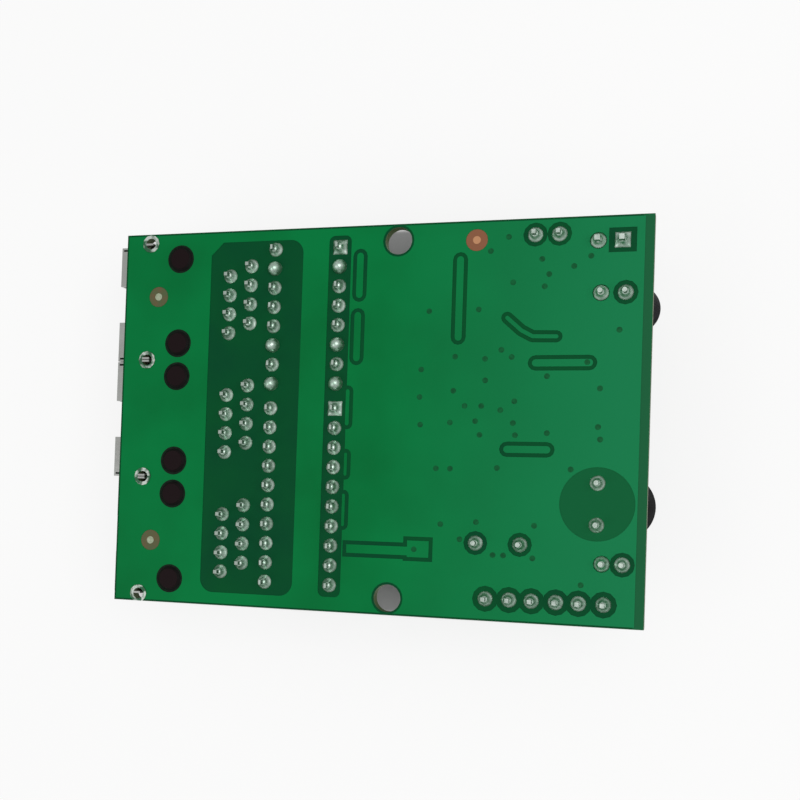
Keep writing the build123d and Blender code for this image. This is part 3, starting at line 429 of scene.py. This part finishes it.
def solderJoint(bm, part, values, dice, isDomed):
    # a fillet that curves in from its pad to the lead, or a dome over a short lead, spun round the lead
    scale = 1 + dice.uniform(-values["uneven"], values["uneven"])
    pad, lead, high = values["padMm"], values["leadMm"], values["heightMm"] * scale
    if isDomed:
        dome = values["domeMm"]
        outline = [(pad, 0.0)]
        outline += [(pad * cos(radians(a)), dome * sin(radians(a))) for a in values["domeDegrees"]]
        outline += [(0.0, dome)]
    else:
        outline = [(pad, 0.0), (pad * 0.98, values["footMm"]), (pad * 0.8, 0.2 * high), (pad * 0.62, 0.42 * high),
                   (lead + values["neckMm"], 0.72 * high), (lead, high), (0.0, high)]
    centre = Vector((part["middle"].x, part["middle"].y, part["low"].z))
    earlier = set(bm.verts)
    chain = [bm.verts.new(centre + Vector((r * mm, 0, z * mm))) for r, z in outline]
    edges = [bm.edges.new(pair) for pair in zip(chain, chain[1:])]
    bmesh.ops.spin(bm, geom=chain + edges, cent=centre, axis=(0, 0, 1), angle=2 * pi, steps=values["steps"],
                   use_merge=True, use_duplicate=False)
    if part["corners"] <= values["squareCorners"]:
        squareOff([vert for vert in bm.verts if vert not in earlier], centre, high * mm)


def shortLeads(cadNode):
    # where leads end close above the board
    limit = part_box("circuit_board")[1].z + jointValues["shortLeadMm"] * mm
    return [part["middle"] for part in looseParts(cadNode) if part["high"].z < limit]


def solderField(name, cadNode, seed, covered=()):
    dice = random.Random(seed)
    row, reach = jointValues["rowMm"] * mm, jointValues["reachMm"] * mm
    bm = bmesh.new()
    for part in looseParts(cadNode):
        middle = part["middle"]
        isDomed = any(abs(middle.y - lead.y) < row and abs(middle.x - lead.x) < reach for lead in covered)
        solderJoint(bm, part, jointValues, dice, isDomed)
    bmesh.ops.remove_doubles(bm, verts=bm.verts, dist=0.002 * mm)
    piece = finishPiece(name, bm, solderMetal)
    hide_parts(cadNode)


solderField("jackJoints", "jack_pin_solder", 3)
solderField("transformerJoints", "transformer_solder", 5, shortLeads("transformer_16_pin_leads"))
solderField("smallPartJoints", "small_part_solder", 8)
print("solder joints made")


viaValues = {
    "sizeMm": 0.36,             # half the width of a via
    "riseMm": 0.02,
    "slopeMm": 0.12,            # width of the raised rim
    "dipMm": 0.1,               # width of the step down inside it
    "dipShare": 0.6,            # how much of the rise the step goes down
    "liftMm": 0.004,
    "segments": 14,
    "placesMm": (   # from the board's left and top edges, seen from the solder side
        (52.5, 2.2), (50.3, 3.9), (56.7, 5.1), (62.6, 4.9), (57.6, 7.0), (60.6, 6.1), (53.2, 7.9), (57.1, 8.5),
        (49.0, 11.2), (42.7, 11.3), (66.2, 14.0), (46.2, 17.1), (50.0, 17.4), (52.0, 16.3), (53.3, 17.2),
        (50.1, 20.1), (41.9, 18.7), (46.1, 21.4), (41.8, 22.2), (57.7, 19.6), (64.1, 21.1), (49.7, 23.3),
        (47.6, 23.3), (52.1, 23.8), (53.8, 22.7), (53.7, 25.4), (49.0, 25.2), (45.8, 25.4), (42.0, 25.7),
        (64.0, 25.8), (64.3, 27.3), (49.6, 26.9), (54.0, 26.9), (57.9, 26.6), (44.2, 31.2), (46.0, 31.2),
        (51.9, 31.0), (60.9, 31.0), (49.5, 37.8), (45.0, 38.2), (56.7, 38.0), (47.5, 40.0), (51.7, 41.8),
        (53.0, 41.8), (56.6, 42.0), (62.5, 45.0), (41.7, 41.5), (62.5, 17.9)),
}
boardLow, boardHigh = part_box("circuit_board")
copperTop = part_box("solder_side_copper")[1].z

# Mask that has sunk into a plated hole: dark green and glossy.
sunkMask, tree, shader = newMaterial("sunkMask", "#00552c", 0.38, specular=0.15)
mottle(tree, shader, "#004c27", "#005f31", 0.5)


def addDisc(bm, place, radiusMm, segments):
    # a flat round face, given back in a list so that it can be inset
    made = bmesh.ops.create_circle(bm, cap_ends=True, segments=segments, radius=radiusMm * mm,
                                   matrix=Matrix.Translation(place))
    return [face for vert in made["verts"] for face in vert.link_faces][:1]


bm = bmesh.new()
rise = viaValues["riseMm"] * mm
for x, y in viaValues["placesMm"]:
    place = Vector((boardLow.x + x * mm, boardHigh.y - y * mm, copperTop + viaValues["liftMm"] * mm))
    disc = addDisc(bm, place, viaValues["sizeMm"], viaValues["segments"])
    bmesh.ops.inset_region(bm, faces=disc, thickness=viaValues["slopeMm"] * mm, depth=rise)
    bmesh.ops.inset_region(bm, faces=disc, thickness=viaValues["dipMm"] * mm, depth=-rise * viaValues["dipShare"])
finishPiece("tentedVias", bm, sunkMask)
print("vias made")


# Round each peg hole, on the laminate between the copper and the peg, a near-black ring is painted shade of the
# hole.
pegShadeValues = {
    "insideMm": 1.62,
    "outsideMm": 1.9,
    "segments": 40,
    "fromEdgeMm": 8.1,          # from the board's left edge to the middle of the pegs
    "halfGapMm": 5.715,         # from a jack's middle to its pegs
    "liftMm": 0.003,
}
# Painted shade of the drilled peg holes: dark green-black and dull.
pegHoleShade, tree, shader = newMaterial("paintedPegHoleShade", "#0c1a12", 0.6, specular=0.1)
mottle(tree, shader, "#08130d", "#122318", 0.6)
bm = bmesh.new()
for number in (1, 2, 3):
    shieldLow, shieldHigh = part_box(f"jack_{number}_shield")
    for side in (-1, 1):
        middle = Vector((boardLow.x + pegShadeValues["fromEdgeMm"] * mm,
                         (shieldLow.y + shieldHigh.y) / 2 + side * pegShadeValues["halfGapMm"] * mm,
                         copperTop + pegShadeValues["liftMm"] * mm))
        rings = []
        for radius in (pegShadeValues["insideMm"], pegShadeValues["outsideMm"]):
            made = bmesh.ops.create_circle(bm, segments=pegShadeValues["segments"], radius=radius * mm,
                                           matrix=Matrix.Translation(middle))
            rings += list({edge for vert in made["verts"] for edge in vert.link_edges})
        bmesh.ops.bridge_loops(bm, edges=rings)
finishPiece("pegHoleShadeRings", bm, pegHoleShade)
print("peg hole rims made")


markValues = {
    "dotMm": 0.5,               # half the width of a dot
    "riseMm": 0.03,
    "slopeMm": 0.06,
    "liftMm": 0.002,
    "segments": 20,
}
# Bare copper dots: etched, dull and browned, the one at the top most of all.
dullDot, tree, shader = newMaterial("dullCopperDot", "#a3ad93", 0.6, metallic=0.3)
dot = mottle(tree, shader, "#97a385", "#b3bca3", 0.4)
tintPast(tree, shader, dot, "#c08a62", "X", 0.0)
bm = bmesh.new()
for part in looseParts("fiducial_marks"):
    place = Vector((part["middle"].x, part["middle"].y, part["high"].z + markValues["liftMm"] * mm))
    disc = addDisc(bm, place, markValues["dotMm"], markValues["segments"])
    bmesh.ops.inset_region(bm, faces=disc, thickness=markValues["slopeMm"] * mm, depth=markValues["riseMm"] * mm)
finishPiece("alignmentDots", bm, dullDot)
print("alignment dots made")


stageValues = {
    "floorColour": "#f4f4f3",
    "floorSize": 2.0,
    "floorGlow": 0.8,           # how much of the paper is plain white to the camera
    "paintedShadowColour": "#9d9d9d",   # painted shadow: the darker colour of the paper under the board
    # the middle of that shade on each axis, and how far from it the shade is full and ends
    "shadeMm": (("X", -3.5, 30, 38), ("Y", 1, 26.2, 27.4)),
    "above": 0.62,              # strength of the sky overhead
    "sides": 0.4,
    "skyEnds": (0.15, 0.85),    # between these heights the one turns to the other
    "aim": (0, 0, 0.01),        # where the lamps point
    "lamps": (   # name, place, size, power in watts
        ("rightSoftbox", (0.22, 0.02, 0.42), 0.3, 0.8),
        ("leftSoftbox", (-0.4, -0.25, 0.45), 0.35, 0.5)),
}
# Matt white paper, coated: pale and even, with no gloss of its own.
floorMaterial, tree, shader = newMaterial("paperSweep", stageValues["floorColour"], 0.9)
rays = addNode(tree, "ShaderNodeLightPath")
seen = addNode(tree, "ShaderNodeMath", {"operation": "MAXIMUM"},
               links={0: rays.outputs["Is Camera Ray"], 1: rays.outputs["Is Glossy Ray"]})
seen = addNode(tree, "ShaderNodeMath", {"operation": "MAXIMUM"},
               links={0: seen.outputs["Value"], 1: rays.outputs["Is Transmission Ray"]})
# The paper under the board gets no glow, so the shade there stays, and its colour is darkened there too: a painted
# shadow, deeper than the lamps cast.
place = addNode(tree, "ShaderNodeTexCoord")
parts = addNode(tree, "ShaderNodeSeparateXYZ", links={"Vector": place.outputs["Object"]})
shades = []
for axis, middle, full, none in stageValues["shadeMm"]:
    offset = addNode(tree, "ShaderNodeMath", {"operation": "SUBTRACT"}, {1: middle * mm}, {0: parts.outputs[axis]})
    offset = addNode(tree, "ShaderNodeMath", {"operation": "ABSOLUTE"}, links={0: offset.outputs["Value"]})
    shades.append(addNode(tree, "ShaderNodeMapRange", {"interpolation_type": "SMOOTHSTEP"},
                          {"From Min": full * mm, "From Max": none * mm, "To Min": 1.0, "To Max": 0.0},
                          {"Value": offset.outputs["Value"]}))
under = addNode(tree, "ShaderNodeMath", {"operation": "MULTIPLY"},
                links={0: shades[0].outputs["Result"], 1: shades[1].outputs["Result"]})
paintedShadow = addNode(tree, "ShaderNodeMix", {"data_type": "RGBA"},
               {6: hexColour(stageValues["floorColour"]), 7: hexColour(stageValues["paintedShadowColour"])},
               {0: under.outputs["Value"]})
tree.links.new(paintedShadow.outputs[2], shader.inputs["Base Color"])
clear = addNode(tree, "ShaderNodeMath", {"operation": "SUBTRACT"}, {0: stageValues["floorGlow"]},
                {1: under.outputs["Value"]})
share = addNode(tree, "ShaderNodeMath", {"operation": "MULTIPLY", "use_clamp": True},
                links={0: clear.outputs["Value"], 1: seen.outputs["Value"]})
glow = addNode(tree, "ShaderNodeEmission", values={"Strength": 1.0})
blend = addNode(tree, "ShaderNodeMixShader",
                links={0: share.outputs["Value"], 1: shader.outputs["BSDF"], 2: glow.outputs["Emission"]})
tree.links.new(blend.outputs["Shader"], tree.nodes["Material Output"].inputs["Surface"])
bm = bmesh.new()
bmesh.ops.create_grid(bm, x_segments=1, y_segments=1, size=stageValues["floorSize"])
mesh = bpy.data.meshes.new("floor")
bm.to_mesh(mesh)
bm.free()
floor = bpy.data.objects.new("floor", mesh)
mesh.materials.append(floorMaterial)
bpy.context.scene.collection.objects.link(floor)

world = bpy.data.worlds.new("studio")
bpy.context.scene.world = world
world.use_nodes = True
tree = world.node_tree
background = tree.nodes["Background"]
background.inputs["Color"].default_value = hexColour("#ffffff")
rays = addNode(tree, "ShaderNodeLightPath")
way = addNode(tree, "ShaderNodeTexCoord")
height = addNode(tree, "ShaderNodeSeparateXYZ", links={"Vector": way.outputs["Generated"]})
ends = {"From Min": stageValues["skyEnds"][0], "From Max": stageValues["skyEnds"][1],
        "To Min": stageValues["sides"], "To Max": stageValues["above"]}
fall = addNode(tree, "ShaderNodeMapRange", values=ends, links={"Value": height.outputs["Z"]})
seen = addNode(tree, "ShaderNodeMath", {"operation": "MAXIMUM"},
               links={0: fall.outputs["Result"], 1: rays.outputs["Is Camera Ray"]})
tree.links.new(seen.outputs["Value"], background.inputs["Strength"])

for name, place, size, power in stageValues["lamps"]:
    lamp = bpy.data.lights.new(name, "AREA")
    lamp.size = size
    lamp.energy = power
    lampObject = bpy.data.objects.new(name, lamp)
    lampObject.location = place
    lampObject.rotation_euler = (Vector(place) - Vector(stageValues["aim"])).to_track_quat("Z", "Y").to_euler()
    bpy.context.scene.collection.objects.link(lampObject)
bpy.context.scene.view_settings.view_transform = "Standard"
print("stage set")

bpy.context.view_layer.update()
